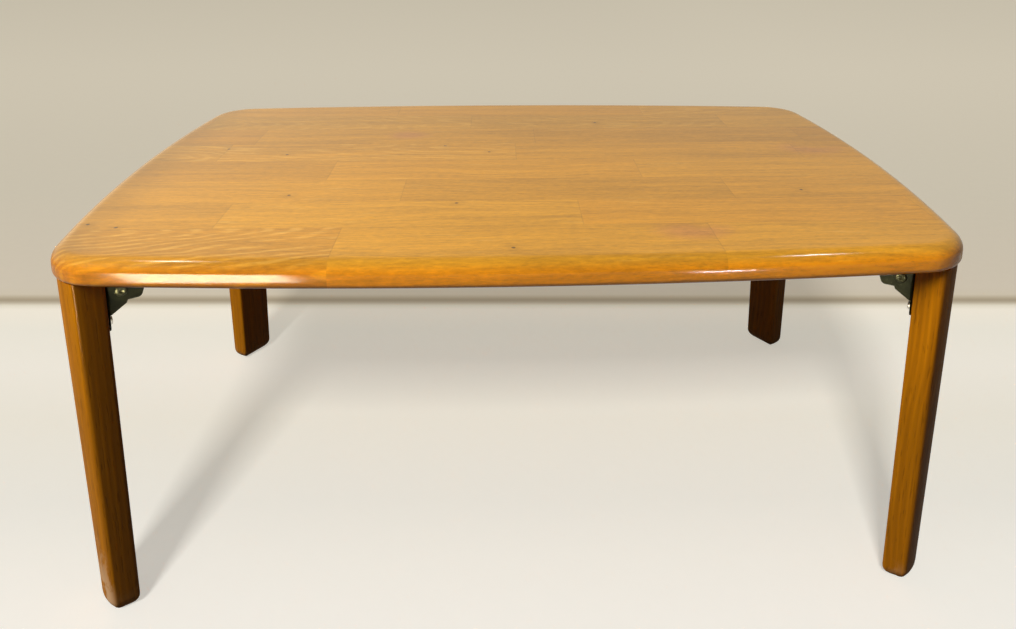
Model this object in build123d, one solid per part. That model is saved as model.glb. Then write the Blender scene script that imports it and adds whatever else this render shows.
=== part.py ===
"""Folding low table: a bullnosed solid-wood top on four flat wooden legs.

Each leg is hinged to the underside by a pressed-steel bracket pair, a through rivet and a
spring-steel latch, and folds in under the top. Lengths are millimetres, +Z is up, +X runs
along the long side, and the origin is on the floor under the middle of the top.
"""

from build123d import *
from math import atan2, cos, degrees, hypot, radians, sin, sqrt
import os

# ---- table ----
TOP_LENGTH = 750.0
TOP_DEPTH = 500.0
TABLE_HEIGHT = 319.0
TOP_THICKNESS = 22.0
LONG_SIDE_BOW = 16.0
SHORT_SIDE_BOW = 18.0
TOP_CORNER_RADIUS = 47.0
TOP_UPPER_ROUND = 12.0
TOP_LOWER_ROUND = 5.0
UNDERSIDE = TABLE_HEIGHT - TOP_THICKNESS

# ---- legs ----
FOLD_ANGLE = 32.0
LEG_INSET = 2.5
LEG_THICKNESS = 29.0
LEG_WIDTH = 48.0
FOOT_THICKNESS = 25.0
FOOT_WIDTH = 42.0
LEG_TOP_GAP = 0.1
LEG_OUTER_ARRIS = 2.5
LEG_INNER_ARRIS = 2.5
FOOT_ROUND = 8.0
FOOT_EASE = 0.1

# ---- hinge, measured inward from the leg's inner face and down from the underside ----
SHEET = 2.0
BEND = 1.5
PIVOT_IN = 11.0
PIVOT_DOWN = 14.8
PIVOT_RADIUS = 3.0
FIT_GAP = 0.05
CHEEK_OUTER = 17.0
EAR_INNER = 17.3
EAR_OUTER = EAR_INNER + SHEET
EAR_START = 1.0
EAR_RADIUS = 8.6
EAR_TOE_IN = 22.2
EAR_TOE_DOWN = 19.2
EAR_TOE_RADIUS = 4.1
EAR_ROOT_IN = 33.0
PLATE_END = 62.0
PLATE_CORNER = 7.0
CHEEK_RADIUS = 7.5
CHEEK_BEND_IN = 13.0
CHEEK_BEND_DOWN = 25.4
CHEEK_CORNER = 2.0
CHEEK_TOE_IN = 2.3
CHEEK_TOE_DOWN = 32.5
CATCH_LOBE = 3.4
LEG_PLATE_TOP = 2.6
LEG_PLATE_END = 50.0
LEG_PLATE_CORNER = 8.0
BUSH_RADIUS = 4.0
RIVET_HEAD_RADIUS = 4.8
RIVET_HEAD_HEIGHT = 1.7
RIVET_DIMPLE_RADIUS = 2.0
RIVET_DIMPLE_DEPTH = 1.0

# ---- latch ----
CATCH_REACH = 8.6
CATCH_RISE = -5.0
CATCH_RADIUS = 1.75
SPRING_SHEET = 1.0
SPRING_WIDTH = 13.0
SPRING_BEND_IN = 32.5
SPRING_END_IN = 47.0
SPRING_LEAN = 27.0
NOSE_RUN = 2.2
TAB_RUN = 6.5
TAB_REACH = 4.4
TAB_DROP = 1.6
SPRING_BEND_RADIUS = 3.0
NOSE_RADIUS = 1.2
TAB_RADIUS = 2.0
SPRING_RIVETS_IN = (37.5, 43.5)
SPRING_RIVET_RADIUS = 1.5
SPRING_RIVET_HEAD = 2.6
SPRING_RIVET_HEIGHT = 1.1

# ---- wood screws ----
SCREW_RADIUS = 1.9
SCREW_LENGTH = 16.0
SCREW_TIP = 4.0
SCREW_HEAD_RADIUS = 3.6
SCREW_HEAD_HEIGHT = 2.3
TOP_SCREWS = ((24.0, 10.8), (24.0, -10.8), (54.0, 12.0), (54.0, -12.0))
LEG_SCREWS = ((25.0, 9.0), (25.0, -9.0), (42.0, 8.5), (42.0, -8.5))

CORNERS = {
    "front_left": (-1, -1),
    "front_right": (1, -1),
    "rear_left": (-1, 1),
    "rear_right": (1, 1),
}

os.makedirs("parts", exist_ok=True)


def save(shape, node):
    export_step(shape, f"parts/{node}.step")


# ---- shapes shared by the pieces ----


def bow_radius(half_chord, bow):
    return (half_chord**2 + bow**2) / (2 * bow)


def corner_centre():
    """Centre of the arc that rounds a corner of the top, in the first quadrant."""
    long_radius = bow_radius(TOP_LENGTH / 2 - SHORT_SIDE_BOW, LONG_SIDE_BOW)
    short_radius = bow_radius(TOP_DEPTH / 2 - LONG_SIDE_BOW, SHORT_SIDE_BOW)
    long_centre = (0.0, TOP_DEPTH / 2 - long_radius)
    short_centre = (TOP_LENGTH / 2 - short_radius, 0.0)
    to_long = long_radius - TOP_CORNER_RADIUS
    to_short = short_radius - TOP_CORNER_RADIUS
    dx = short_centre[0] - long_centre[0]
    dy = short_centre[1] - long_centre[1]
    apart = hypot(dx, dy)
    along = (to_long**2 - to_short**2 + apart**2) / (2 * apart)
    aside = sqrt(to_long**2 - along**2)
    x = long_centre[0] + (along * dx + aside * dy) / apart
    y = long_centre[1] + (along * dy - aside * dx) / apart
    return x, y


def top_outline():
    """Plan of the top: four gently bowed sides meeting in round corners."""
    x = TOP_LENGTH / 2 - SHORT_SIDE_BOW
    y = TOP_DEPTH / 2 - LONG_SIDE_BOW
    sides = [
        ThreePointArc((-x, -y), (0, -TOP_DEPTH / 2), (x, -y)),
        ThreePointArc((x, -y), (TOP_LENGTH / 2, 0), (x, y)),
        ThreePointArc((x, y), (0, TOP_DEPTH / 2), (-x, y)),
        ThreePointArc((-x, y), (-TOP_LENGTH / 2, 0), (-x, -y)),
    ]
    plan = make_face(sides)
    return fillet(plan.vertices(), TOP_CORNER_RADIUS)


def side_view(sketch):
    """Stand a sketch drawn in (inward, up) on the hinge's vertical middle plane."""
    return Plane.XZ * sketch


def across(sketch, low, high):
    """Extrude a side-view sketch across the hinge, from one width to another."""
    face = Pos(0, low, 0) * side_view(sketch)
    return extrude(face, amount=high - low, dir=(0, 1, 0))


def rod(radius, low, high, inward, down):
    """A round bar across the hinge."""
    return across(Pos(inward, -down) * Circle(radius), low, high)


def screw_point(turned, inward, width, down):
    """A pan-head wood screw, drawn head down, turned and moved to its hole."""
    profile = make_face(
        Polyline(
            (0, SCREW_LENGTH + SHEET),
            (SCREW_RADIUS, SCREW_LENGTH + SHEET - SCREW_TIP),
            (SCREW_RADIUS, 0),
            (SCREW_HEAD_RADIUS, 0),
            (SCREW_HEAD_RADIUS, -SCREW_HEAD_HEIGHT * 0.45),
            (SCREW_HEAD_RADIUS * 0.72, -SCREW_HEAD_HEIGHT),
            (0, -SCREW_HEAD_HEIGHT),
            close=True,
        )
    )
    screw = revolve(Plane.XZ * profile, Axis.Z)
    return Pos(inward, width, -down) * Rot(0, turned, 0) * screw


def top_screw(inward, width):
    return screw_point(0, inward, width, SHEET)


def leg_screw(down, width):
    return screw_point(-90, SHEET, width, down)


# ---- the pieces of one corner, drawn with the leg's inner face at x = 0, inward along +X ----

pivot = (PIVOT_IN, -PIVOT_DOWN)
catch = (
    PIVOT_IN + CATCH_REACH * cos(radians(CATCH_RISE)),
    -PIVOT_DOWN + CATCH_REACH * sin(radians(CATCH_RISE)),
)


def leg_section(thickness, width):
    """Flat inner face and sides, with an outer face that follows the top's corner."""
    arc_radius = TOP_CORNER_RADIUS - LEG_INSET
    crown = arc_radius - sqrt(arc_radius**2 - (width / 2) ** 2)
    half = width / 2
    shoulder = -thickness + crown
    outline = [
        Line((0, -half), (0, half)),
        Line((0, half), (shoulder, half)),
        ThreePointArc((shoulder, half), (-thickness, 0), (shoulder, -half)),
        Line((shoulder, -half), (0, -half)),
    ]
    section = make_face(outline)
    section = fillet(section.vertices().group_by(Axis.X)[-1], LEG_INNER_ARRIS)
    return fillet(section.vertices().group_by(Axis.X)[0], LEG_OUTER_ARRIS)


def foot_trim(low, high):
    """Tall profile, wide above, whose foot is rounded down to the floor between two sides."""
    low += FOOT_EASE
    high -= FOOT_EASE
    ease = FOOT_ROUND * (1 - cos(radians(45)))
    spring = -UNDERSIDE + FOOT_ROUND
    outline = [
        Line((low - FOOT_ROUND, 0), (high + FOOT_ROUND, 0)),
        Line((high + FOOT_ROUND, 0), (high + FOOT_ROUND, spring)),
        Line((high + FOOT_ROUND, spring), (high, spring)),
        ThreePointArc(
            (high, spring), (high - ease, ease - UNDERSIDE), (high - FOOT_ROUND, -UNDERSIDE)
        ),
        Line((high - FOOT_ROUND, -UNDERSIDE), (low + FOOT_ROUND, -UNDERSIDE)),
        ThreePointArc(
            (low + FOOT_ROUND, -UNDERSIDE), (low + ease, ease - UNDERSIDE), (low, spring)
        ),
        Line((low, spring), (low - FOOT_ROUND, spring)),
        Line((low - FOOT_ROUND, spring), (low - FOOT_ROUND, 0)),
    ]
    return make_face(outline)


def make_leg():
    foot = Pos(0, 0, -UNDERSIDE) * leg_section(FOOT_THICKNESS, FOOT_WIDTH)
    head = Pos(0, 0, -LEG_TOP_GAP) * leg_section(LEG_THICKNESS, LEG_WIDTH)
    leg = loft([foot, head], ruled=True)
    half = FOOT_WIDTH / 2
    leg &= extrude(Plane.XZ * foot_trim(-FOOT_THICKNESS, 0), amount=LEG_WIDTH, both=True)
    leg &= extrude(Plane.YZ * foot_trim(-half, half), amount=LEG_WIDTH, both=True)
    for down, width in LEG_SCREWS:
        hole = Cylinder(SCREW_RADIUS + FIT_GAP, SCREW_LENGTH * 2)
        leg -= Pos(0, width, -down) * Rot(0, 90, 0) * hole
    return leg


def make_top_bracket():
    """Base plate on the underside with two ears bent down from its sides."""
    channel = Pos(0, -EAR_RADIUS - PIVOT_DOWN) * Rectangle(
        EAR_OUTER * 2, (EAR_RADIUS + PIVOT_DOWN) * 2
    )
    channel = fillet(channel.vertices().group_by(Axis.Y)[-1], BEND + SHEET)
    hollow = Pos(0, -EAR_RADIUS - PIVOT_DOWN - SHEET) * Rectangle(
        EAR_INNER * 2, (EAR_RADIUS + PIVOT_DOWN) * 2
    )
    hollow = fillet(hollow.vertices().group_by(Axis.Y)[-1], BEND)
    channel -= hollow
    channel = extrude(Plane.YZ * channel, amount=PLATE_END)
    knuckle = Pos(pivot) * Circle(EAR_RADIUS)
    toe = Pos(EAR_TOE_IN, -EAR_TOE_DOWN) * Circle(EAR_TOE_RADIUS)
    root = Line((EAR_START, 0), (EAR_ROOT_IN, 0))
    ear = make_hull([*knuckle.edges(), *toe.edges(), root])
    plate = Pos((EAR_START + PLATE_END) / 2, 0, -SHEET / 2) * Box(
        PLATE_END - EAR_START, EAR_OUTER * 2, SHEET
    )
    plate = fillet(
        plate.edges().filter_by(Axis.Z).group_by(Axis.X)[-1], PLATE_CORNER
    )
    bracket = channel & (across(ear, -EAR_OUTER, EAR_OUTER) + plate)
    bracket -= rod(PIVOT_RADIUS + FIT_GAP, -EAR_OUTER, EAR_OUTER, PIVOT_IN, PIVOT_DOWN)
    for inward, width in TOP_SCREWS:
        bracket -= Pos(inward, width, 0) * Cylinder(SCREW_RADIUS + 0.3, SHEET * 3)
    for inward in SPRING_RIVETS_IN:
        bracket -= Pos(inward, 0, 0) * Cylinder(SPRING_RIVET_RADIUS + FIT_GAP, SHEET * 3)
    return bracket


def make_leg_bracket():
    """Back plate on the leg with two cheeks bent inward, between the ears."""
    reach = catch[0] + CATCH_LOBE
    channel = Pos(reach / 2, 0) * Rectangle(reach, CHEEK_OUTER * 2)
    channel = fillet(channel.vertices().group_by(Axis.X)[0], BEND + SHEET)
    hollow = Pos(SHEET + reach / 2, 0) * Rectangle(reach, (CHEEK_OUTER - SHEET) * 2)
    hollow = fillet(hollow.vertices().group_by(Axis.X)[0], BEND)
    channel -= hollow
    channel = Pos(0, 0, -LEG_PLATE_END) * extrude(channel, amount=LEG_PLATE_END - LEG_PLATE_TOP)
    knuckle = Pos(pivot) * Circle(CHEEK_RADIUS)
    lobe = Pos(catch) * Circle(CATCH_LOBE)
    corner = Pos(CHEEK_BEND_IN, -CHEEK_BEND_DOWN) * Circle(CHEEK_CORNER)
    toe = Pos(CHEEK_TOE_IN, -CHEEK_TOE_DOWN) * Circle(CHEEK_CORNER)
    heel = Line((0, -LEG_PLATE_TOP), (0, -CHEEK_TOE_DOWN))
    cheek = make_hull([*knuckle.edges(), *corner.edges(), *toe.edges(), heel])
    cheek += make_hull([*knuckle.edges(), *lobe.edges()])
    plate_length = LEG_PLATE_END - LEG_PLATE_TOP
    plate = Pos(SHEET / 2, 0, -LEG_PLATE_TOP - plate_length / 2) * Box(
        SHEET, CHEEK_OUTER * 2, plate_length
    )
    plate = fillet(
        plate.edges().filter_by(Axis.X).group_by(Axis.Z)[0], LEG_PLATE_CORNER
    )
    bracket = channel & (across(cheek, -CHEEK_OUTER, CHEEK_OUTER) + plate)
    bracket -= rod(PIVOT_RADIUS + FIT_GAP, -CHEEK_OUTER, CHEEK_OUTER, PIVOT_IN, PIVOT_DOWN)
    bracket -= rod(CATCH_RADIUS + FIT_GAP / 2, -CHEEK_OUTER, CHEEK_OUTER, catch[0], -catch[1])
    for down, width in LEG_SCREWS:
        hole = Cylinder(SCREW_RADIUS + 0.3, SHEET * 3)
        bracket -= Pos(0, width, -down) * Rot(0, 90, 0) * hole
    return bracket


def make_pivot_rivet():
    """Through rivet with a low head outside each ear, dimpled where it was set."""
    crown = EAR_OUTER + RIVET_HEAD_HEIGHT
    shoulder = (RIVET_HEAD_RADIUS * 0.84, EAR_OUTER + RIVET_HEAD_HEIGHT * 0.64)
    dimple = (RIVET_DIMPLE_RADIUS, crown)
    half = make_face(
        [
            Line((0, crown - RIVET_DIMPLE_DEPTH), dimple),
            ThreePointArc(dimple, shoulder, (RIVET_HEAD_RADIUS, EAR_OUTER)),
            Line((RIVET_HEAD_RADIUS, EAR_OUTER), (PIVOT_RADIUS, EAR_OUTER)),
            Line((PIVOT_RADIUS, EAR_OUTER), (PIVOT_RADIUS, 0)),
            Line((PIVOT_RADIUS, 0), (0, 0)),
            Line((0, 0), (0, crown - RIVET_DIMPLE_DEPTH)),
        ]
    )
    rivet = revolve(Plane.XZ * half, Axis.Z)
    rivet += mirror(rivet, Plane.XY)
    return Pos(PIVOT_IN, 0, -PIVOT_DOWN) * Rot(90, 0, 0) * rivet


def make_pivot_bush():
    """Spacer tube that holds the cheeks apart round the rivet."""
    half = CHEEK_OUTER - SHEET
    tube = rod(BUSH_RADIUS, -half, half, PIVOT_IN, PIVOT_DOWN)
    return tube - rod(PIVOT_RADIUS + FIT_GAP, -half, half, PIVOT_IN, PIVOT_DOWN)


def make_catch_bar():
    return rod(CATCH_RADIUS, -CHEEK_OUTER, CHEEK_OUTER, catch[0], -catch[1])


def make_latch_spring():
    """Spring strip riveted to the base plate, with a nose over the catch bar and a thumb tab."""
    lean = radians(SPRING_LEAN)
    clear = CATCH_RADIUS + SPRING_SHEET / 2 + FIT_GAP
    down_run = (sin(lean), -cos(lean))
    touch = (catch[0] + clear * cos(lean), catch[1] + clear * sin(lean))
    nose = (touch[0] - NOSE_RUN * down_run[0], touch[1] - NOSE_RUN * down_run[1])
    knee = (touch[0] + TAB_RUN * down_run[0], touch[1] + TAB_RUN * down_run[1])
    tab = (knee[0] + TAB_REACH, knee[1] - TAB_DROP)
    level = -SHEET - SPRING_SHEET / 2 - FIT_GAP
    path = FilletPolyline(
        (SPRING_END_IN, level),
        (SPRING_BEND_IN, level),
        nose,
        knee,
        tab,
        radius=[SPRING_BEND_RADIUS, NOSE_RADIUS, TAB_RADIUS],
    )
    strip = trace(path, SPRING_SHEET)
    spring = across(strip, -SPRING_WIDTH / 2, SPRING_WIDTH / 2)
    for inward in SPRING_RIVETS_IN:
        spring -= Pos(inward, 0, 0) * Cylinder(SPRING_RIVET_RADIUS + FIT_GAP, SHEET * 6)
    return spring


def make_latch_rivets():
    """Two short rivets that hold the spring strip to the base plate."""
    seat = SHEET + SPRING_SHEET + FIT_GAP * 2
    rivets = []
    for inward in SPRING_RIVETS_IN:
        shank = Pos(inward, 0, -seat / 2) * Cylinder(SPRING_RIVET_RADIUS, seat)
        head = Pos(inward, 0, -seat - SPRING_RIVET_HEIGHT / 2) * Cone(
            SPRING_RIVET_HEAD * 0.6, SPRING_RIVET_HEAD, SPRING_RIVET_HEIGHT
        )
        rivets.append(shank + head)
    return Compound(rivets)


def make_top_screws():
    return Compound([top_screw(inward, width) for inward, width in TOP_SCREWS])


def make_leg_screws():
    return Compound([leg_screw(down, width) for down, width in LEG_SCREWS])


# ---- the table ----


def at_corner(signs):
    """Place of a corner's pieces: on the leg's inner face, level with the underside."""
    x, y = corner_centre()
    fold = radians(FOLD_ANGLE)
    out = TOP_CORNER_RADIUS - LEG_INSET - LEG_THICKNESS
    face_x = signs[0] * (x + out * cos(fold))
    face_y = signs[1] * (y + out * sin(fold))
    inward = degrees(atan2(-signs[1] * sin(fold), -signs[0] * cos(fold)))
    return Pos(face_x, face_y, UNDERSIDE) * Rot(0, 0, inward)


def make_top():
    top = extrude(Pos(0, 0, UNDERSIDE) * top_outline(), amount=TOP_THICKNESS)
    top = fillet(top.faces().sort_by(Axis.Z)[-1].edges(), TOP_UPPER_ROUND)
    top = fillet(top.faces().sort_by(Axis.Z)[0].edges(), TOP_LOWER_ROUND)
    for signs in CORNERS.values():
        for inward, width in TOP_SCREWS:
            hole = Cylinder(SCREW_RADIUS + FIT_GAP, SCREW_LENGTH * 2)
            top -= at_corner(signs) * Pos(inward, width, 0) * hole
    return top


PIECES = {
    "leg": make_leg(),
    "top_bracket": make_top_bracket(),
    "leg_bracket": make_leg_bracket(),
    "pivot_rivet": make_pivot_rivet(),
    "pivot_bush": make_pivot_bush(),
    "catch_bar": make_catch_bar(),
    "latch_spring": make_latch_spring(),
    "latch_rivets": make_latch_rivets(),
    "top_screws": make_top_screws(),
    "leg_screws": make_leg_screws(),
}

save(make_top(), "table_top")
for corner, signs in CORNERS.items():
    for piece, shape in PIECES.items():
        save(at_corner(signs) * shape, f"{piece}_{corner}")
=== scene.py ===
# %% [markdown]
# # A folding low table
# This table is a glued wooden board on four flat legs, and each leg folds in under the
# board on a riveted steel bracket with a spring latch. The plates, bars, bushes and rivets
# come from the CAD frame as they are, because pressed sheet and turned steel are already right
# there. Blender makes the board and the legs again with finer edges, the screws with their
# cross recesses and the springs with their bends, and it gives every piece its finish.

# %% Load the frame
import math

import bmesh
import bpy
from mathutils import Matrix, Vector


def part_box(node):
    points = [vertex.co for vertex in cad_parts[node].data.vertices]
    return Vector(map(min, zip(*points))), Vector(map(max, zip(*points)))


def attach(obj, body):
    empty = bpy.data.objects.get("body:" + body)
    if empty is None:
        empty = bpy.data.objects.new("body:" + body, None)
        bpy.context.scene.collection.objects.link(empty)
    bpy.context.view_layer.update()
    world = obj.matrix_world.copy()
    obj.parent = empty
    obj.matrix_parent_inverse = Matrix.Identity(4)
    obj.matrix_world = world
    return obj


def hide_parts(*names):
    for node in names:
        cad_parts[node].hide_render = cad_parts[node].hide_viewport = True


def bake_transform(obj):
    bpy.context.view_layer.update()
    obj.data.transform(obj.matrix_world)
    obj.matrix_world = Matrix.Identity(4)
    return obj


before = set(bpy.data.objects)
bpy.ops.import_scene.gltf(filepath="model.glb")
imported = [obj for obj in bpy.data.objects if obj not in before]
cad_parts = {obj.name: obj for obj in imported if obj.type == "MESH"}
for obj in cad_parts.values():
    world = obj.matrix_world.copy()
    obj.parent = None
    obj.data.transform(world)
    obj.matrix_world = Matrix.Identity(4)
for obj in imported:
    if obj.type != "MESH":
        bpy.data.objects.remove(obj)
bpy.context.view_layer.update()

corners = ("front_left", "front_right", "rear_left", "rear_right")
LEG_TURN = math.radians(32)

# %% [markdown]
# ## Modelling by hand, in code
# Every piece is drawn as a person would draw it: add a primitive, open it in edit mode, pick
# faces or edges, and extrude, spin or bevel them. Four helpers keep that short. One opens a
# new primitive with nothing else selected, one picks parts by a test on their place, one
# extrudes what is picked, and one closes the piece with its place in its mesh.


# %% Open, pick and close
WELD = 0.000002


def begin(add, name, **settings):
    bpy.ops.object.select_all(action="DESELECT")
    add(**settings)
    piece = bpy.context.object
    piece.name = name
    bpy.ops.object.mode_set(mode="EDIT")
    bpy.ops.mesh.select_mode(type="VERT")
    bpy.ops.mesh.select_all(action="SELECT")
    return piece


def pick(kind, test):
    bpy.ops.mesh.select_mode(type=kind)
    bpy.ops.mesh.select_all(action="DESELECT")
    mesh = bpy.context.object.data
    work = bmesh.from_edit_mesh(mesh)
    parts = {"VERT": work.verts, "EDGE": work.edges, "FACE": work.faces}[kind]
    for part in filter(test, parts):
        part.select_set(True)
    bmesh.update_edit_mesh(mesh)


def pull(x, y, z):
    bpy.ops.mesh.extrude_region_move(TRANSFORM_OT_translate={"value": (x, y, z)})


def finish_mesh(piece, angle=30):
    bpy.ops.mesh.select_all(action="SELECT")
    bpy.ops.mesh.remove_doubles(threshold=WELD)
    bpy.ops.mesh.normals_make_consistent(inside=False)
    bpy.ops.object.mode_set(mode="OBJECT")
    bpy.ops.object.transform_apply(location=True, rotation=True, scale=True)
    bpy.ops.object.shade_smooth_by_angle(angle=math.radians(angle))
    print(piece.name, len(piece.data.polygons), "faces")


# %% [markdown]
# ## The board
# The real board is flat with a large rounding above and a small one below, and between them a
# narrow band that stands upright and carries the long highlights. Its plan is eight arcs:
# four gently bowed sides and four round corners. The plan could be a curve, but spinning one
# point round the centre of each arc in turn is exact and shows where each arc's centre lies.
# The outline is filled, pulled up to its thickness, and its rims are bevelled.

# %% The eight arcs
(_, _, underside), (high_x, high_y, top_level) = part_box("table_top")
LONG_BOW, SHORT_BOW, CORNER_RADIUS = 0.016, 0.018, 0.047


def bow_radius(half_chord, bow):
    return (half_chord**2 + bow**2) / (2 * bow)


def arc_centres():
    """Centres of the rear side, the right side and the corner between them."""
    long_radius = bow_radius(high_x - SHORT_BOW, LONG_BOW)
    short_radius = bow_radius(high_y - LONG_BOW, SHORT_BOW)
    rear = Vector((0, high_y - long_radius, 0))
    side = Vector((high_x - short_radius, 0, 0))
    to_rear, to_side = long_radius - CORNER_RADIUS, short_radius - CORNER_RADIUS
    apart = (side - rear).length
    along = (to_rear**2 - to_side**2 + apart**2) / (2 * apart)
    aside = math.sqrt(to_rear**2 - along**2)
    ahead = (side - rear) / apart
    return rear, side, rear + along * ahead + aside * Vector((ahead.y, -ahead.x, 0))


rear, side, corner = arc_centres()
long_turn = math.atan2(corner.x, corner.y - rear.y)
short_turn = math.atan2(corner.y, corner.x - side.x)
corner_turn = math.pi / 2 - long_turn - short_turn
print("arc centres:", [round(v, 4) for v in (rear.y, side.x, corner.x, corner.y)])

# %% Spin the outline, then thicken and round it
UPPER_ROUND, LOWER_ROUND, FLAT_INSET = 0.012, 0.005, 0.004
LONG_STEPS, SHORT_STEPS, CORNER_STEPS = 56, 32, 18


def make_board():
    board = begin(bpy.ops.mesh.primitive_plane_add, "board", size=0.01)
    bpy.ops.mesh.merge(type="CENTER")
    bpy.ops.transform.translate(value=(high_x, 0, underside))
    arcs = [(side, short_turn, SHORT_STEPS // 2)]
    for sign_x, sign_y, middle, turn, steps in (
        (1, 1, rear, 2 * long_turn, LONG_STEPS),
        (-1, 1, -side, 2 * short_turn, SHORT_STEPS),
        (-1, -1, -rear, 2 * long_turn, LONG_STEPS),
        (1, -1, side, short_turn, SHORT_STEPS // 2),
    ):
        round_corner = Vector((sign_x * corner.x, sign_y * corner.y, 0))
        arcs += [(round_corner, corner_turn, CORNER_STEPS), (middle, turn, steps)]
    for centre, turn, steps in arcs:
        bpy.ops.mesh.spin(steps=steps, angle=turn, center=centre, axis=(0, 0, -1))
    bpy.ops.mesh.select_all(action="SELECT")
    bpy.ops.mesh.remove_doubles(threshold=10 * WELD)
    bpy.ops.mesh.edge_face_add()
    pull(0, 0, top_level - underside)
    for level, size, steps in ((top_level, UPPER_ROUND, 10), (underside, LOWER_ROUND, 6)):
        pick("EDGE", lambda edge: all(abs(v.co.z - level) < 1e-5 for v in edge.verts))
        bpy.ops.mesh.bevel(offset=size, segments=steps, affect="EDGES")
    pick("FACE", lambda face: face.calc_area() > 0.1)
    bpy.ops.mesh.inset(thickness=FLAT_INSET)
    finish_mesh(board)
    return board


board = make_board()
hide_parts("table_top")
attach(board, "root")

# %% [markdown]
# ## The four hinges' places
# All pieces of a corner share one frame: x points inward from the leg's inner face, z
# points up from the underside, and the frame is turned with the leg. Anything drawn in it
# once is put at each corner by one matrix.

# %% The hinge frame and copies at the corners
HINGE_OUT, SHEET = 0.0155, 0.002


def hinge(place):
    x, y = (-1 if "left" in place else 1), (-1 if "front" in place else 1)
    outward = Vector((x * math.cos(LEG_TURN), y * math.sin(LEG_TURN), 0))
    across = Vector((0, 0, 1)).cross(-outward)
    turned = Matrix((-outward, across, (0, 0, 1))).transposed().to_4x4()
    middle = Vector((x * corner.x, y * corner.y, underside)) + outward * HINGE_OUT
    return Matrix.Translation(middle) @ turned


def copies(source, name, matrices):
    """One mesh per matrix, joined into one piece."""
    bpy.ops.object.select_all(action="DESELECT")
    for matrix in matrices:
        twin = bpy.data.objects.new(name, source.data.copy())
        twin.data.transform(matrix)
        bpy.context.collection.objects.link(twin)
        twin.select_set(True)
        bpy.context.view_layer.objects.active = twin
    if len(matrices) > 1:
        bpy.ops.object.join()
    bpy.context.object.name = name
    return bpy.context.object


# %% [markdown]
# ## The legs
# A leg is a flat piece of wood that tapers a little to the foot. Its outer face is round in
# plan, because it follows the board's corner, and its foot is rounded off on every side. The
# section is drawn by spinning a point round the corner's centre, then it is pulled down and
# made smaller. The foot is rounded before the arrises, so that the arrises run over it.

# %% One leg, copied to four corners
LEG_DEPTH, LEG_WIDE, FOOT_DEPTH, FOOT_WIDE = 0.029, 0.048, 0.025, 0.042
LEG_ARC, LEG_GAP, ARRIS, TOE_ROUND = 0.0445, 0.0001, 0.0022, 0.0118


def is_arris(edge):
    """A sharp edge that runs up the leg and doesn't touch the floor."""
    heights = sorted(vert.co.z for vert in edge.verts)
    upright = heights[0] > 0.0018 - underside and heights[1] - heights[0] > 0.0002
    return upright and edge.calc_face_angle(0) > 0.45


def is_foot(edge):
    return all(vert.co.z < 0.007 - underside for vert in edge.verts)


def make_leg():
    leg = begin(bpy.ops.mesh.primitive_plane_add, "leg", size=0.01)
    bpy.ops.mesh.merge(type="CENTER")
    half_turn = math.asin(LEG_WIDE / 2 / LEG_ARC)
    middle = Vector((LEG_ARC - LEG_DEPTH, 0, -LEG_GAP))
    edge = middle + LEG_ARC * Vector((-math.cos(half_turn), -math.sin(half_turn), 0))
    bpy.ops.transform.translate(value=edge)
    bpy.ops.mesh.spin(steps=14, angle=2 * half_turn, center=middle, axis=(0, 0, 1))
    pull(-edge.x, 0, 0)
    pull(0, -LEG_WIDE, 0)
    bpy.ops.mesh.select_all(action="SELECT")
    bpy.ops.mesh.edge_face_add()
    pull(0, 0, LEG_GAP - underside)
    taper = (FOOT_DEPTH / LEG_DEPTH, FOOT_WIDE / LEG_WIDE, 1)
    bpy.ops.transform.resize(value=taper, center_override=(0, 0, 0))
    pick("EDGE", is_foot)
    bpy.ops.mesh.bevel(offset=TOE_ROUND, segments=7, affect="EDGES")
    pick("EDGE", is_arris)
    bpy.ops.mesh.bevel(offset=ARRIS, segments=4, affect="EDGES")
    finish_mesh(leg)
    return leg


leg = make_leg()
legs = []
for place in corners:
    piece = copies(leg, f"shaped_leg_{place}", [hinge(place)])
    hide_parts(f"leg_{place}")
    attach(piece, f"leg_{place}_body")
    legs.append(piece)
bpy.data.objects.remove(leg)
print(len(legs), "legs")

# %% [markdown]
# ## The screws
# Pan-head screws with a cross recess hold both plates. A head is a short cylinder with its
# rim bevelled to a dome. The recess could be drawn in the head's faces, but cutting it with a
# small cross and a boolean is cleaner, because the cross only has to be drawn once. One screw
# is modelled in its own frame, head up, and copied to all 32 holes with a turn of its own.


# %% One screw
HEAD_RADIUS, HEAD_HEIGHT, HEAD_DOME = 0.0036, 0.0023, 0.0013
SHANK_RADIUS, SHANK, POINT = 0.0019, 0.014, 0.004
CROSS_BAR, CROSS_ARM, CROSS_LEVEL = 0.0009, 0.0014, 0.0021


def make_cross():
    place = (0, 0, CROSS_LEVEL)
    cross = begin(bpy.ops.mesh.primitive_cube_add, "cross", size=CROSS_BAR, location=place)
    for x, y in ((1, 0), (-1, 0), (0, 1), (0, -1)):
        pick("FACE", lambda face: face.normal.x * x + face.normal.y * y > 0.9)
        pull(x * CROSS_ARM, y * CROSS_ARM, 0)
    pick("VERT", lambda vert: vert.co.z > 0)
    bpy.ops.transform.translate(value=(0, 0, 0.001))
    pick("VERT", lambda vert: vert.co.z < 0)
    bpy.ops.transform.resize(value=(0.55, 0.55, 1))
    finish_mesh(cross)
    return cross


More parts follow.
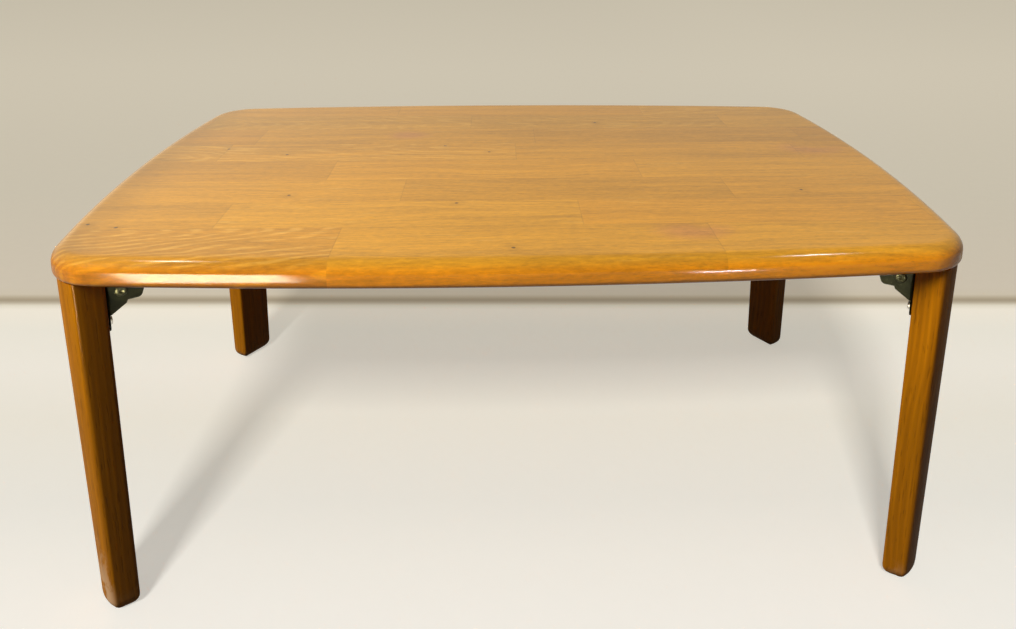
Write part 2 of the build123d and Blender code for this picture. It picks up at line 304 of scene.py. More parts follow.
def make_screw():
    screw = begin(
        bpy.ops.mesh.primitive_cylinder_add,
        "screw",
        vertices=32,
        radius=HEAD_RADIUS,
        depth=HEAD_HEIGHT,
        location=(0, 0, HEAD_HEIGHT / 2),
    )
    pick("EDGE", lambda edge: all(v.co.z > 0.001 for v in edge.verts))
    bpy.ops.mesh.bevel(offset=HEAD_DOME, segments=5, affect="EDGES")
    pick("FACE", lambda face: face.normal.z < -0.9)
    bpy.ops.mesh.inset(thickness=HEAD_RADIUS - SHANK_RADIUS)
    pull(0, 0, -SHANK)
    pull(0, 0, -POINT)
    bpy.ops.transform.resize(value=(0.15, 0.15, 1))
    finish_mesh(screw)
    cross = make_cross()
    cut = screw.modifiers.new("recess", "BOOLEAN")
    cut.object, cut.operation, cut.solver = cross, "DIFFERENCE", "EXACT"
    bpy.ops.object.select_all(action="DESELECT")
    bpy.context.view_layer.objects.active = screw
    bpy.ops.object.modifier_apply(modifier="recess")
    bpy.data.objects.remove(cross)
    return screw


screw = make_screw()

# %% Screw sets
TOP_HOLES = ((0.024, 0.0108), (0.024, -0.0108), (0.054, 0.012), (0.054, -0.012))
LEG_HOLES = ((0.025, 0.009), (0.025, -0.009), (0.042, 0.0085), (0.042, -0.0085))
HEAD_DOWN, HEAD_INWARD = Matrix.Rotation(math.pi, 4, "X"), Matrix.Rotation(math.pi / 2, 4, "Y")
TWIST_STEP = 1.9


def screw_places(place):
    """Matrices of the eight screws at a corner, each driven home at its own angle."""
    here, first = hinge(place), corners.index(place) * 8
    top, leg = [], []
    for count, ((inward, width), (down, offset)) in enumerate(zip(TOP_HOLES, LEG_HOLES)):
        twist = Matrix.Rotation((first + count) * TWIST_STEP, 4, "Z")
        top.append(here @ Matrix.Translation((inward, width, -SHEET)) @ HEAD_DOWN @ twist)
        leg.append(here @ Matrix.Translation((SHEET, offset, -down)) @ HEAD_INWARD @ twist)
    return {"top_screws": (top, "root"), "leg_screws": (leg, f"leg_{place}_body")}


screw_sets = []
for place in corners:
    for kind, (matrices, body) in screw_places(place).items():
        piece = copies(screw, f"cross_{kind}_{place}", matrices)
        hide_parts(f"{kind}_{place}")
        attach(piece, body)
        screw_sets.append(piece)
bpy.data.objects.remove(screw)
print(len(screw_sets), "sets of screws")

# %% [markdown]
# ## The latch springs
# Each latch is one strip of spring steel. It lies riveted on the base plate, bends down and
# back over the catch bar, and ends in a tab for a thumb. Its side view is drawn as one
# line, a run at a time, with each bend spun round its centre, and the line is then pulled
# across and thickened.

# %% One spring, drawn as a bent line
SPRING_WIDTH, SPRING_SHEET = 0.013, 0.001
SPRING_START, SPRING_TIP = Vector((0.047, 0, -0.00255)), Vector((0.02897, 0, -0.0219))
SPRING_BENDS = (
    (Vector((0.0325, 0, -0.00255)), 0.003),
    (Vector((0.02062, 0, -0.01255)), 0.0012),
    (Vector((0.02457, 0, -0.0203)), 0.002),
)
BEND_START, BEND_END, SPRING_SMOOTH = Vector((0.036, 0, -0.003)), Vector((0.0305, 0, -0.006)), 40


def make_spring():
    spring = begin(bpy.ops.mesh.primitive_plane_add, "spring", size=0.001)
    bpy.ops.mesh.merge(type="CENTER")
    bpy.ops.transform.translate(value=SPRING_START)
    at = SPRING_START.copy()
    ends = [knee for knee, radius in SPRING_BENDS[1:]] + [SPRING_TIP]
    for (knee, radius), after in zip(SPRING_BENDS, ends):
        into, out = (knee - at).normalized(), (after - knee).normalized()
        turn = into.angle(out)
        setback = radius * math.tan(turn / 2)
        tangent = knee - into * setback
        pull(*(tangent - at))
        middle = (out - into).normalized()
        centre = knee + middle * (radius / math.cos(turn / 2))
        axis = out.cross(into).normalized()
        bpy.ops.mesh.spin(steps=7, angle=turn, center=centre, axis=axis)
        at = knee + out * setback
    pull(*(SPRING_TIP - at))
    bpy.ops.mesh.select_all(action="SELECT")
    bpy.ops.mesh.remove_doubles(threshold=2.5 * WELD)
    bpy.ops.transform.translate(value=(0, -SPRING_WIDTH / 2, 0))
    pull(0, SPRING_WIDTH, 0)
    pick("VERT", lambda vert: (vert.co - SPRING_TIP).length < SPRING_WIDTH * 0.52)
    bpy.ops.mesh.bevel(offset=0.003, segments=5, affect="VERTICES")
    finish_mesh(spring, SPRING_SMOOTH)
    for kind, settings in (
        ("SOLIDIFY", {"thickness": SPRING_SHEET, "offset": 0}),
        ("BEVEL", {"width": 0.00015, "segments": 2}),
    ):
        step = spring.modifiers.new(kind, kind)
        for name, value in settings.items():
            setattr(step, name, value)
        bpy.ops.object.modifier_apply(modifier=kind)
    bpy.ops.object.shade_smooth_by_angle(angle=math.radians(SPRING_SMOOTH))
    return spring


spring = make_spring()
springs = []
for place in corners:
    piece = copies(spring, f"spring_strip_{place}", [hinge(place)])
    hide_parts(f"latch_spring_{place}")
    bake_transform(piece)
    springs.append(piece)
bpy.data.objects.remove(spring)
print(len(springs), "springs")

# %% [markdown]
# ## Shader maths as plain sums
# A finish is a graph of nodes, and long sums are tiresome to wire by hand. One small class
# wraps an output socket, so that a sum in Python adds the Math nodes. Every other node comes
# from one method that takes its type, its settings and what goes into its sockets.


# %% Values and finishes
class Value:
    """An output socket that can be added, multiplied and compared."""

    def __init__(self, finish, socket):
        self.finish, self.socket = finish, socket

    def maths(self, operation, *rest):
        inputs = dict(enumerate((self, *rest)))
        return self.finish.add("ShaderNodeMath", {"operation": operation}, inputs)

    def __add__(self, other):
        return self.maths("ADD", other)

    def __mul__(self, other):
        return self.maths("MULTIPLY", other)

    def __sub__(self, other):
        return self.maths("SUBTRACT", other)

    def __rsub__(self, other):
        return self * -1 + other

    def __truediv__(self, other):
        return self.maths("DIVIDE", other)

    def __pow__(self, other):
        return self.maths("POWER", other)

    def __abs__(self):
        return self.maths("ABSOLUTE")

    __radd__, __rmul__ = __add__, __mul__


class Finish:
    """A material with one Principled shader and a short way to add nodes."""

    def __init__(self, name, **constants):
        self.material = bpy.data.materials.new(name)
        self.material.use_nodes = True
        self.tree = self.material.node_tree
        self.shader = self.tree.nodes["Principled BSDF"]
        for socket, value in constants.items():
            self.shader.inputs[socket.replace("_", " ")].default_value = value

    def add(self, kind, settings=None, inputs=None, output=0):
        node = self.tree.nodes.new(kind)
        for name, value in (settings or {}).items():
            if name == "stops":
                ramp = node.color_ramp
                while len(ramp.elements) < len(value):
                    ramp.elements.new(0.5)
                for element, (position, shade) in zip(ramp.elements, value):
                    shade = shade if isinstance(shade, tuple) else (shade, shade, shade)
                    element.position, element.color = position, (*shade, 1)
            elif name == "steps":
                node.color_ramp.interpolation = value
            else:
                setattr(node, name, value)
        for socket, value in (inputs or {}).items():
            if isinstance(value, Value):
                self.tree.links.new(value.socket, node.inputs[socket])
            else:
                node.inputs[socket].default_value = value
        return Value(self, node.outputs[output])

    def place(self):
        spot = self.add("ShaderNodeTexCoord", output="Object")
        parts = [
            self.add("ShaderNodeSeparateXYZ", {}, {0: spot}, output) for output in range(3)
        ]
        return spot, *parts

    def point(self, x, y, z):
        return self.add("ShaderNodeCombineXYZ", {}, {0: x, 1: y, 2: z})

    def distance(self, one, other):
        settings = {"operation": "DISTANCE"}
        return self.add("ShaderNodeVectorMath", settings, {0: one, 1: other}, "Value")

    def noise(self, where, scale=1.0, detail=3.0, rough=0.5):
        inputs = {"Vector": where, "Scale": scale, "Detail": detail, "Roughness": rough}
        return self.add("ShaderNodeTexNoise", {}, inputs)

    def chance(self, where):
        drawn = self.add("ShaderNodeTexWhiteNoise", {}, {"Vector": where}, "Color")
        return [
            self.add("ShaderNodeSeparateColor", {}, {0: drawn}, output) for output in range(3)
        ]

    def ramp(self, value, low, high):
        """0 at low, 1 at high, and a soft slope between them."""
        settings = {"interpolation_type": "SMOOTHSTEP"}
        return self.add("ShaderNodeMapRange", settings, {0: value, 1: low, 2: high})

    def mix(self, share, first, second):
        inputs = {0: share, 6: first, 7: second}
        return self.add("ShaderNodeMix", {"data_type": "RGBA"}, inputs, 2)

    def shade(self, colour, share):
        inputs = {0: 1.0, 6: colour, 7: self.point(share, share, share)}
        settings = {"data_type": "RGBA", "blend_type": "MULTIPLY"}
        return self.add("ShaderNodeMix", settings, inputs, 2)

    def bump(self, height, depth):
        return self.add("ShaderNodeBump", {}, {"Height": height, "Distance": depth})

    def wire(self, **sockets):
        for socket, value in sockets.items():
            target = self.shader.inputs[socket.replace("_", " ")]
            self.tree.links.new(value.socket, target)
        return self.material


# %% [markdown]
# ## The board's finish
# The board is glued up from staves about 60 mm wide that run along its length, and each
# stave is a few shorter lengths joined end to end. A row number and a length number pick one
# piece of wood, and white noise on them gives each its own tint, log and figure. The figure
# is growth rings: the distance from a log's axis that runs slightly askew under the board,
# which draws straight lines or pointed arches by itself.

# %% Which stave a point lies on
STAVE_WIDTH, STAVE_LENGTH, FIRST_SEAM = 0.0605, 0.30, 0.005
END_JOINTS = (0.517, 0.173, 0.65, 0.4, 0.0, 0.073, 0.833, 0.533)


def stave(wood, x, y):
    """Row number, length number and the place along and across within that piece."""
    rows = (y - FIRST_SEAM) / STAVE_WIDTH
    row = rows.maths("FLOOR").maths("MAXIMUM", -4).maths("MINIMUM", 3)
    rows_in_all = len(END_JOINTS)
    stops = [(count / rows_in_all, offset) for count, offset in enumerate(END_JOINTS)]
    settings = {"steps": "CONSTANT", "stops": stops}
    joint = wood.add("ShaderNodeValToRGB", settings, {0: (row + 4.5) / rows_in_all})
    along = (x / STAVE_LENGTH) - joint
    piece = along.maths("FLOOR")
    return row, piece, along - piece - 0.5, rows - row - 0.5


# %% [markdown]
# ## Growth rings
# A plain stave shows close, nearly straight lines. A few show broad pale lines that wave or
# close into a flame. Both are rings about an axis, so one sum draws both, and only the
# axis's depth and tilt differ. The front left piece has the clearest flame, so its axis is
# given on its own.


# %% Rings and the flame
PLAIN_PITCH, FLAME_PITCH, LEG_PITCH = 0.0038, 0.0052, 0.0048
FLAME_AXIS_Y, FLAME_AXIS_X, FLAME_DEPTH, FLAME_TILT = -0.176, -0.145, 0.058, 0.20


def rings_about(wood, across, depth, pitch):
    radius = (across * across + depth * depth) ** 0.5
    return (radius * (2 * math.pi / pitch)).maths("SINE") * 0.5 + 0.5


def growth(wood, x, y, z, row, piece, along, chances):
    tint, log, skew = chances
    wander = wood.noise(wood.point(x * 4 + log * 9, y * 14, z * 14), 1.0, 3.0) - 0.5
    middle = (row + 0.5) * STAVE_WIDTH + FIRST_SEAM + (tint - 0.5) * 0.05
    depth = (z - top_level) + 0.020 + 0.05 * log + wander * 0.034
    depth = depth + along * (skew - 0.5) * 0.08
    plain = rings_about(wood, y - middle, depth, PLAIN_PITCH)
    front_left = row.maths("LESS_THAN", -3.5) * piece.maths("LESS_THAN", -1.5)
    tilt = FLAME_DEPTH + (x - FLAME_AXIS_X) * FLAME_TILT + wander * 0.030
    flame = rings_about(wood, y - FLAME_AXIS_Y, tilt, FLAME_PITCH)
    waved = row.maths("COMPARE", 0, 0.5) * piece.maths("LESS_THAN", -0.5)
    figured = front_left.maths("MAXIMUM", waved * 0.75)
    figured = figured.maths("MAXIMUM", wood.ramp(skew, 0.55, 0.95) * 0.5)
    return plain + (flame - plain) * front_left, figured


# %% [markdown]
# ## Marks of growth and of use
# Small pin knots, seams, pores and hairline scratches say wood more than any grain line. Pin
# knots and reddish patches are few, so each is a distance to its own place in millimetres.
# Pores and scratches are many, so they are a stretched noise of which only the peaks are kept.

# %% Knots and reddish patches
PIN_KNOTS = ((-205, -97), (-55, -122), (-350, -163), (-325, -171), (-75, 57))
PIN_KNOTS += ((-28, 33), (-7, -223), (-300, 50), (-235, 28), (96, 151), (262, -96))
PINK_PATCHES = ((318, 40, 0.050), (140, -192, 0.045), (-120, 100, 0.035))


def pin_knots(wood, spot):
    nearest = None
    for x, y in PIN_KNOTS:
        here = wood.distance(spot, (x / 1000, y / 1000, top_level))
        nearest = here if nearest is None else nearest.maths("MINIMUM", here)
    uneven = nearest * (0.7 + 0.6 * wood.noise(spot, 500.0, 2.0))
    return wood.ramp(uneven, 0.0022, 0.0009), wood.ramp(nearest, 0.011, 0.002)


def pink_patches(wood, x, y):
    share = None
    for middle_x, middle_y, size in PINK_PATCHES:
        away = wood.distance(wood.point(x, y * 1.6, 0), (middle_x / 1000, middle_y / 625, 0))
        here = wood.ramp(away, size, size * 0.2)
        share = here if share is None else share.maths("MAXIMUM", here)
    return share


# %% [markdown]
# ## The staves' grain
# Long streaks, broader bands and short flecks lie on the same slightly swaying lines as the
# rings, because all of them follow the fibres. Clouds of tone don't, and carry the pale lines
# and the reddish patches. All of it only darkens or lightens two close colours of wood.

# %% Grain of the staves
LIGHT_WOOD, DEEP_WOOD = (0.680, 0.282, 0.006, 1), (0.750, 0.330, 0.009, 1)
PALE_LINE, PINK_WOOD = (0.80, 0.42, 0.06, 1), (0.62, 0.235, 0.045, 1)


def board_grain(wood, x, y, z, row, piece, along):
    """Colour, rings, streaks and clouds of the glued staves."""
    chances = wood.chance(wood.point(row, piece, 3.0))
    tint, log, skew = chances
    sway = wood.noise(wood.point(x * 5 + tint * 8, y * 16, z * 16), 1.0, 2.0) - 0.5
    curl = wood.noise(wood.point(x * 26, y * 60, z * 60), 1.0, 2.0) - 0.5
    run = y + sway * 0.034 + curl * 0.006
    rings, figured = growth(wood, x, run, z, row, piece, along, chances)

    fibre = wood.point(x * 17 + tint * 40, run * 300, z * 300)
    streak = wood.noise(fibre, 1.0, 4.0, 0.65)
    band = wood.noise(wood.point(x * 4 + tint * 30, run * 90, z * 90), 1.0, 4.0, 0.6)
    cloud = wood.noise(wood.point(x * 8, y * 12, z * 12), 1.0, 4.0, 0.6)
    uneven = wood.noise(wood.point(x * 22, run * 120, z * 120), 1.0, 3.0, 0.6)
    pale = wood.noise(wood.point(x * 14 + log * 20, run * 210, z * 210), 1.0, 3.0, 0.6)
    pale = wood.ramp(pale, 0.58, 0.70) * wood.ramp(cloud, 0.42, 0.58)
    lines = wood.ramp(rings, 0.40, 1.0) * wood.ramp(uneven, 0.34, 0.62)
    fleck = wood.noise(wood.point(x * 130, y * 420, z * 420), 1.0, 3.0, 0.7)

    tone = 0.93 + (tint - 0.5) * 0.18 + (band - 0.5) * 0.60 + (streak - 0.5) * 0.56
    tone = tone + (cloud - 0.5) * 0.26 + (fleck - 0.5) * 0.66
    tone = tone + lines * (0.03 + figured * 0.14) - figured * 0.06
    colour = wood.mix(log, LIGHT_WOOD, DEEP_WOOD)
    colour = wood.mix(lines * figured * 0.5 + pale * 0.4, colour, PALE_LINE)
    pink = pink_patches(wood, x, y) * wood.ramp(cloud, 0.40, 0.56)
    colour = wood.mix(pink * 0.75, colour, PINK_WOOD)
    return wood.shade(colour, tone), rings, streak, cloud


# %% [markdown]
# ## The board's lacquer, wear, painted light and painted shade
# The rim took more stain than the flat, so it is deeper and more orange, and its colour is
# also raised above the stain's as painted light, more at the front right. The back, the left
# end and the front left corner most are painted darker as painted shade. The lacquer is a
# clear coat, thinner on the rim and broken by hairline scratches. Seams, knots and pores also
# dent it.

# %% Lacquered staves
LACQUER = {"Coat_IOR": 1.5, "IOR": 1.45, "Specular_IOR_Level": 0.0}
RIM_STAIN_AND_PAINTED_LIGHT = (1.45, 1.10, 0.03, 1)


def rim_stain_painted_light_and_shade(wood, colour, x, y, z):
    edge = wood.ramp(z, top_level - 0.001, top_level - 0.010)
    # Stain and painted light: the rim's factors deepen its orange and, being above one, also
    # brighten it.
    rim_stain_and_light = {0: edge, 6: colour, 7: RIM_STAIN_AND_PAINTED_LIGHT}
    warm = {"data_type": "RGBA", "blend_type": "MULTIPLY"}
    colour = wood.add("ShaderNodeMix", warm, rim_stain_and_light, 2)
    # Painted shade: the board is painted up to a fifth darker towards the back.
    colour = wood.shade(colour, 1 - wood.ramp(y, -0.20, 0.25) * 0.20)
    # Painted shade: the left end is painted darker, its rim more, and the front left corner
    # most.
    front, left = wood.ramp(y, -0.15, -0.24), wood.ramp(x, -0.31, -0.37)
    colour = wood.shade(colour, 1 - left * (0.28 + edge * 0.18) - left * front * 0.24)
    # Painted light: the rim at the front right is painted lighter.
    right = wood.ramp(x, 0.05, 0.28) * wood.ramp(x, 0.36, 0.31)
    colour = wood.shade(colour, 1 + right * front * edge * 0.16)
    # Painted shade: the whole board is also painted a little darker towards the left.
    return wood.shade(colour, 1 - wood.ramp(x, -0.08, -0.36) * 0.08), edge


def board_finish():
    wood = Finish("lacquered_board", **LACQUER, Coat_Roughness=0.12)
    spot, x, y, z = wood.place()
    row, piece, along, across = stave(wood, x, y)
    colour, rings, streak, cloud = board_grain(wood, x, y, z, row, piece, along)

    end_joint = wood.ramp(abs(along), 0.4972, 0.4996)
    seam = wood.ramp(abs(across), 0.488, 0.499).maths("MAXIMUM", end_joint)
    knot, halo = pin_knots(wood, spot)
    pore = wood.noise(wood.point(x * 85, y * 1500, z * 1500), 1.0, 1.0)
    pore = wood.ramp(pore, 0.62, 0.72) * wood.ramp(cloud, 0.36, 0.6)
    worn = 1 - seam * 0.14 - halo * 0.12 - knot * 0.66 - pore * 0.20
    colour, edge = rim_stain_painted_light_and_shade(wood, wood.shade(colour, worn), x, y, z)

    scratch = wood.noise(wood.point(x * 60 + y * 25, y * 900 - x * 300, z * 40), 1.0, 1.0)
    scratch = wood.ramp(scratch, 0.70, 0.78) * wood.ramp(cloud, 0.46, 0.62)
    relief = rings * 0.4 + streak * 0.5 - seam * 1.4 - knot * 2 - scratch * 0.3 - pore * 0.6
    return wood.wire(
        Base_Color=colour,
        Roughness=0.30 + cloud * 0.14,
        Coat_Weight=1.0 - scratch * 0.5 - edge * 0.45,
        Normal=wood.bump(relief, 0.00005),
    )


board_material = board_finish()
print("board finish:", len(board_material.node_tree.nodes), "nodes")

# %% [markdown]
# ## The legs' finish
# The legs are cut along the grain from the same wood and are stained browner. The grain runs
# up the leg, so the rings are drawn round an upright axis beside it, and the foot shows them
# as end grain. High up, under the board, the wood is painted lighter as painted light that
# lifts the board's shadow, the front right leg most. Feet are rubbed down to bare wood near
# the floor, the front left one most.


# %% Lacquered legs
LEG_X, LEG_Y = 0.3425, 0.2068
DARK_LEG, LIGHT_LEG = (0.315, 0.098, 0.001, 1), (0.43, 0.155, 0.002, 1)
BARE_WOOD = (0.56, 0.36, 0.20, 1)


def leg_finish():
    wood = Finish("lacquered_leg", **LACQUER, Coat_Roughness=0.20)
    spot, x, y, z = wood.place()
    away_x, away_y = abs(x) - LEG_X, abs(y) - LEG_Y
    out = away_x * math.cos(LEG_TURN) + away_y * math.sin(LEG_TURN)
    side = away_y * math.cos(LEG_TURN) - away_x * math.sin(LEG_TURN)
    each = x.maths("SIGN") * 3.1 + y.maths("SIGN") * 5.3
    sway = wood.noise(wood.point(each, z * 3.5, out * 4), 1.0, 2.0) - 0.5
    log_side = side + each * 0.004 + sway * 0.03
    rings = rings_about(wood, out + 0.055 + sway * 0.02, log_side, LEG_PITCH)
    streak = wood.noise(wood.point(x * 330, y * 330, z * 11 + each), 1.0, 4.0, 0.62)
    band = wood.noise(wood.point(x * 80, y * 80, z * 3 + each), 1.0, 3.0, 0.55)
    pore = wood.noise(wood.point(x * 700, y * 700, z * 60), 1.0, 1.0)
    pore = wood.ramp(pore, 0.60, 0.70)
    tone = 0.86 + (rings ** 2) * 0.14 + (band - 0.5) * 0.5 + (streak - 0.5) * 0.55
    colour = wood.mix(band, DARK_LEG, LIGHT_LEG)
    colour = wood.shade(colour, tone - pore * 0.22)
    in_front = wood.ramp(y, 0.0, -0.1)
    front_right = wood.ramp(x, 0.0, 0.1) * in_front
    # Painted light: the upper part of each leg is painted lighter, the front right leg most.
    colour = wood.shade(colour, 1 + wood.ramp(z, 0.14, 0.28) * (0.22 + front_right * 0.30))
    worn = wood.noise(wood.point(x * 60, y * 60, z * 30), 1.0, 4.0, 0.7)
    most_rubbed = wood.ramp(x, 0.0, -0.1) * in_front * wood.ramp(out, 0.0, 0.008)
    rub = wood.ramp(z, 0.024 + 0.060 * most_rubbed, 0.002) * wood.ramp(worn, 0.45, 0.56)
    colour = wood.mix(rub * (0.25 + 0.65 * most_rubbed), colour, BARE_WOOD)
    relief = rings * 0.5 + streak - rub * 0.6 - pore * 0.8
    return wood.wire(
        Base_Color=colour,
        Roughness=0.40 + worn * 0.12 + rub * 0.25,
        Coat_Weight=0.10 - rub * 0.08,
        Normal=wood.bump(relief, 0.00008),
    )


leg_material = leg_finish()
print("leg finish:", len(leg_material.node_tree.nodes), "nodes")

# %% [markdown]
# ## The metal finishes
# The brackets are pressed from sheet that was zinc plated and passivated, which leaves an
# olive film with cloudy patches, rubbed brighter here and there. Rivets have the same film
# with more shine, bars and screws are bright zinc, and the springs are blackened. All are one
# recipe with other colours, because they differ only in film and in wear.


# %% Plated, bright and blackened steel
RUBBED_STEEL = (0.40, 0.38, 0.30, 1)


def steel_finish(name, dark, light, metal, rough, rub, brush):
    steel = Finish(name, Metallic=metal, IOR=1.2)
    spot, x, y, z = steel.place()
    cloud = steel.noise(spot, 90.0, 4.0, 0.62)
    fine = steel.noise(spot, 900.0, 2.0, 0.6)
    drawn = steel.noise(steel.point(x * 120, y * 120, z * 1600), 1.0, 2.0)
    colour = steel.mix(steel.ramp(cloud, 0.34, 0.68), dark, light)
    colour = steel.shade(colour, 0.88 + fine * 0.24)
    spots = steel.ramp(fine, 0.62, 0.76) * steel.ramp(cloud, 0.5, 0.65)
    colour = steel.mix(spots * rub, colour, RUBBED_STEEL)
    relief = cloud * 0.5 + fine * 0.4 + drawn * brush
    return steel.wire(
        Base_Color=colour,
        Roughness=rough + (cloud - 0.5) * 0.25 + fine * 0.06,
        Normal=steel.bump(relief, 0.00003),
    )


plated = steel_finish(
    "passivated_sheet", (0.016, 0.017, 0.007, 1), (0.036, 0.037, 0.017, 1), 0.30, 0.50, 0.3, 0.2
)
filmed = steel_finish(
    "passivated_rivet", (0.050, 0.048, 0.022, 1), (0.11, 0.105, 0.06, 1), 0.8, 0.28, 0.4, 0.2
)
bright = steel_finish(
    "bright_zinc", (0.50, 0.48, 0.43, 1), (0.74, 0.72, 0.66, 1), 1.0, 0.26, 0.2, 0.3
)
black = steel_finish(
    "blackened_spring", (0.012, 0.012, 0.011, 1), (0.035, 0.033, 0.030, 1), 0.5, 0.32, 0.3, 0.5
)

# %% Dress every piece
finishes = {"table_top": board_material, "leg_bracket": plated, "top_bracket": plated}
finishes |= {"latch_spring": black, "pivot_rivet": filmed, "pivot_bush": bright}
finishes |= {"catch_bar": bright, "latch_rivets": filmed, "screws": bright}


def finish_for(node):
    for word, material in finishes.items():
        if word in node:
            return material
    return leg_material


dressed = dict(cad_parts.items()) | {"table_top_made": board}
dressed |= {piece.name: piece for piece in legs}
dressed |= {piece.name: piece for piece in screw_sets}
dressed |= {f"latch_spring_made_{count}": piece for count, piece in enumerate(springs)}
for name, piece in dressed.items():
    piece.data.materials.clear()
    piece.data.materials.append(finish_for(name))
print("dressed", len(dressed), "pieces")

# %% [markdown]
# ## The floor
# A pale floor runs to a slightly darker field behind, as in a studio with a low wall. Both
# are one plane, so the shade in the corner between them is a painted shadow, a narrow dark
# band in its colours. Seen by the camera or in gloss, the floor is partly its own light, so
# it stays pale and still takes the table's shadow. Other rays find it dim, so that it doesn't
# light the underside too much.

# %% The floor
bpy.ops.object.select_all(action="DESELECT")
bpy.ops.mesh.primitive_plane_add(size=14.0, location=(0, 0, 0))
floor = bpy.context.object
floor.name = "studio_floor"

FIELD_START, FIELD_RUN, FIELD_SKEW = -0.25, 1.05, 0.0402
FLOOR_TONES_AND_PAINTED_CORNER_SHADE = ((-0.25, (0.840, 0.813, 0.747)), (-0.18, (0.820, 0.793, 0.721)))
FLOOR_TONES_AND_PAINTED_CORNER_SHADE += ((-0.10, (0.775, 0.752, 0.680)), (0.04, (0.790, 0.752, 0.654)))
FLOOR_TONES_AND_PAINTED_CORNER_SHADE += ((0.15, (0.835, 0.793, 0.700)), (0.25, (0.820, 0.783, 0.680)))
# Painted shade: the dark band from 0.32 to 0.36 stands for the shade where the wall meets the
# floor.
FLOOR_TONES_AND_PAINTED_CORNER_SHADE += ((0.307, (0.870, 0.808, 0.685)), (0.3205, (0.760, 0.702, 0.567)))
FLOOR_TONES_AND_PAINTED_CORNER_SHADE += ((0.3295, (0.500, 0.434, 0.324)), (0.338, (0.375, 0.308, 0.211)))
FLOOR_TONES_AND_PAINTED_CORNER_SHADE += ((0.3475, (0.500, 0.429, 0.309)), (0.3565, (0.615, 0.545, 0.422)))
FLOOR_TONES_AND_PAINTED_CORNER_SHADE += ((0.38, (0.625, 0.556, 0.443)), (0.80, (0.605, 0.550, 0.438)))
FLOOR_GLOW, FLOOR_DIFFUSE, FLOOR_BOUNCE = 0.60, 0.95, (0.11, 0.10, 0.085, 1)


def floor_finish():
    ground = Finish("studio_floor", Roughness=0.9, Specular_IOR_Level=0.0)
    spot, x, y, _ = ground.place()
    depth = ((y + x * FIELD_SKEW) - FIELD_START) / FIELD_RUN
    stops = [((where - FIELD_START) / FIELD_RUN, colour) for where, colour in FLOOR_TONES_AND_PAINTED_CORNER_SHADE]
    colour = ground.add("ShaderNodeValToRGB", {"stops": stops}, {0: depth})
    speckle = ground.noise(spot, 60.0, 3.0, 0.6)
    colour = ground.shade(colour, 0.985 + speckle * 0.03)
    strength = FLOOR_GLOW + ground.ramp(y, 0.3, 2.2) * 0.16
    strength = strength + ground.ramp(y, 0.3, 1.0) * ground.ramp(x, 0.2, 1.2) * 0.03
    glow = ground.add("ShaderNodeEmission", {}, {0: colour, 1: strength})
    ground.wire(Base_Color=ground.shade(colour, FLOOR_DIFFUSE))
    painted = Value(ground, ground.shader.outputs[0])
    lit = ground.add("ShaderNodeAddShader", {}, {0: painted, 1: glow})
    dim = ground.add("ShaderNodeBsdfDiffuse", {}, {0: FLOOR_BOUNCE})
    seen = ground.add("ShaderNodeLightPath", {}, {}, "Is Camera Ray")
    for ray in ("Is Glossy Ray", "Is Transmission Ray"):
        seen = seen.maths("MAXIMUM", ground.add("ShaderNodeLightPath", {}, {}, ray))
    both = ground.add("ShaderNodeMixShader", {}, {0: seen, 1: dim, 2: lit})
    surface = ground.tree.nodes["Material Output"].inputs["Surface"]
    ground.tree.links.new(both.socket, surface)
    return ground.material


floor.data.materials.append(floor_finish())

# %% [markdown]
# ## The lights
# A large soft lamp stands high on the left and lights the table alone, and a smaller one
# nearer the camera lights the floor alone and casts the table's shadow on it. Four small
# cards only show in the gloss of the board's rim: two stand low in front, two hang above.

# %% The lights
WHITE, WARM = (1, 1, 1), (1, 0.93, 0.70)


def softbox(name, place, aim, size, watts, card=False, tint=WHITE):
    bpy.ops.object.select_all(action="DESELECT")
    bpy.ops.object.light_add(type="AREA", location=place)
    lamp = bpy.context.object
    lamp.name = name
    lamp.data.shape = "RECTANGLE"
    lamp.data.size, lamp.data.size_y = size
    lamp.data.energy = watts
    lamp.data.color = tint
    lamp.rotation_euler = (Vector(aim) - Vector(place)).to_track_quat("-Z", "Y").to_euler()
    lamp.visible_camera = False
    lamp.visible_glossy, lamp.visible_diffuse = card, not card
    return lamp


key = softbox("key", (-2.01, -1.41, 2.38), (0, 0, 0.32), (1.4, 1.4), 145)
far = softbox("floor_lamp", (-1.05, -4.9, 4.2), (0, 0.1, 0), (1.0, 1.0), 225)
for name, place, aim, size, watts, tint in (
    ("rim_card", (-0.455, -0.72, 0.17), (-0.235, -0.25, 0.29), (0.235, 0.27), 6.5, WARM),
    ("rim_spot", (0.325, -0.75, 0.15), (0.15, -0.25, 0.30), (0.09, 0.02), 0.55, WHITE),
    ("left_strip", (-0.83, -0.08, 1.69), (-0.26, -0.24, 0.31), (0.22, 0.06), 1.2, WHITE),
    ("right_strip", (0.82, -0.52, 1.66), (0.22, -0.24, 0.31), (0.16, 0.04), 1.2, WHITE),
):
    softbox(name, place, aim, size, watts, card=True, tint=tint)


def light_only(lamp, *pieces):
    kept = bpy.data.collections.new(f"lit_by_{lamp.name}")
    for piece in pieces:
        kept.objects.link(piece)
    lamp.light_linking.receiver_collection = kept


light_only(key, *dressed.values())
light_only(far, floor)

# %% [markdown]
# ## The air round the table
# The world is the pale wall wherever it is seen or mirrored, brighter towards the left, where
# a window would be. As light it is far dimmer, so that the lamps shape the table.

# %% The world
WALL, DIM_AIR = (0.607, 0.552, 0.433), (0.065, 0.062, 0.057, 1)
world = bpy.context.scene.world or bpy.data.worlds.new("studio")
bpy.context.scene.world = world
world.use_nodes = True
air = world.node_tree.nodes["Background"]


def sky(kind, settings, inputs):
    node = world.node_tree.nodes.new(kind)
    for name, value in settings.items():
        setattr(node, name, value)
    for socket, value in inputs.items():
        if hasattr(value, "is_output"):
            world.node_tree.links.new(value, node.inputs[socket])
        else:
            node.inputs[socket].default_value = value
    return node


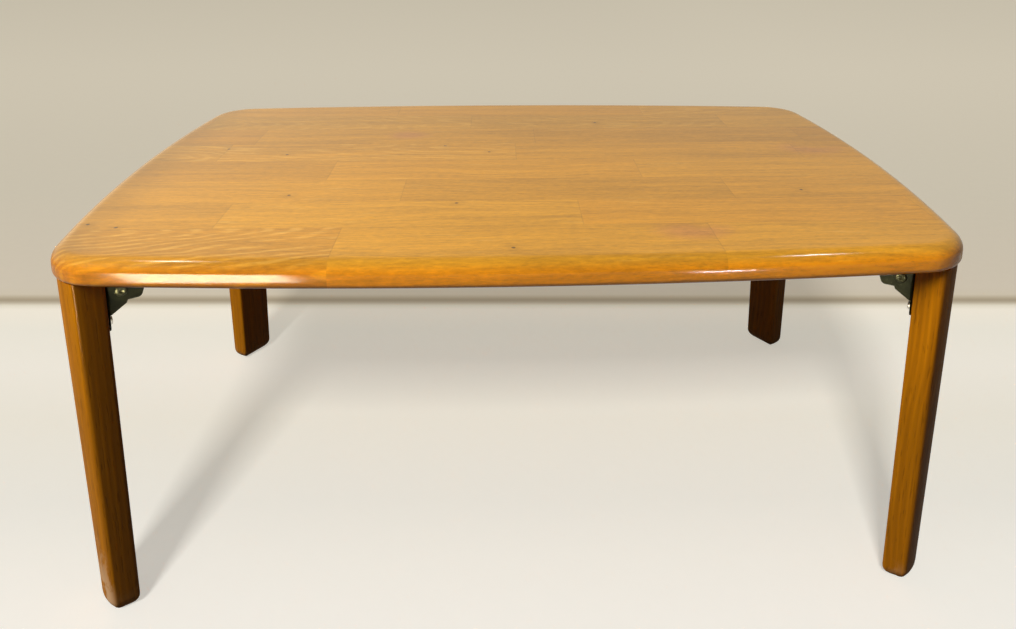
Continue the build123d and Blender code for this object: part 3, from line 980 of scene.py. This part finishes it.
way = sky("ShaderNodeTexCoord", {}, {}).outputs["Generated"]
aside = sky("ShaderNodeSeparateXYZ", {}, {0: way}).outputs[0]
bright_left = {0: aside, 1: 0.1, 2: -0.6, 3: 1.0, 4: 1.7}
left = sky("ShaderNodeMapRange", {"interpolation_type": "SMOOTHSTEP"}, bright_left).outputs[0]
backdrop = {0: WALL, "Scale": left}
wall = sky("ShaderNodeVectorMath", {"operation": "SCALE"}, backdrop).outputs[0]
path = sky("ShaderNodeLightPath", {}, {}).outputs["Is Diffuse Ray"]
halves = {0: path, 6: wall, 7: DIM_AIR}
tone = sky("ShaderNodeMix", {"data_type": "RGBA"}, halves).outputs[2]
world.node_tree.links.new(tone, air.inputs[0])
air.inputs[1].default_value = 1.0

# %% [markdown]
# ## The camera
# The camera stands in front, a little above the board, and looks slightly down and to the
# right. Its focus and the point that it looks straight at are in pixels of a frame of that
# size, and the lens and the shift follow from them.

# %% The camera
WIDE, TALL, SENSOR = 1016, 629, 36
focus, centre_x, centre_y = 881.42, 555.72, 103.63
yaw, pitch, roll = (math.radians(v) for v in (3.8395, 13.562, 0.6921))
bpy.ops.object.camera_add(location=(-0.01837, -0.85628, 0.58577))
camera = bpy.context.object
level = Vector((math.sin(yaw), math.cos(yaw), 0))
ahead = math.cos(pitch) * level - Vector((0, 0, math.sin(pitch)))
right = Vector((math.cos(yaw), -math.sin(yaw), 0))
above = right.cross(ahead)
right, above = (
    math.cos(roll) * right + math.sin(roll) * above,
    math.cos(roll) * above - math.sin(roll) * right,
)
turned = Matrix((right, above, -ahead)).transposed()
camera.rotation_euler = turned.to_euler()
camera.data.sensor_fit = "HORIZONTAL"
camera.data.sensor_width = SENSOR
camera.data.lens = focus * SENSOR / WIDE
camera.data.shift_x = (WIDE / 2 - centre_x) / WIDE
camera.data.shift_y = (centre_y - TALL / 2) / WIDE
camera.data.clip_start, camera.data.clip_end = 0.01, 50
bpy.context.scene.camera = camera
bpy.context.scene.view_settings.view_transform = "Standard"
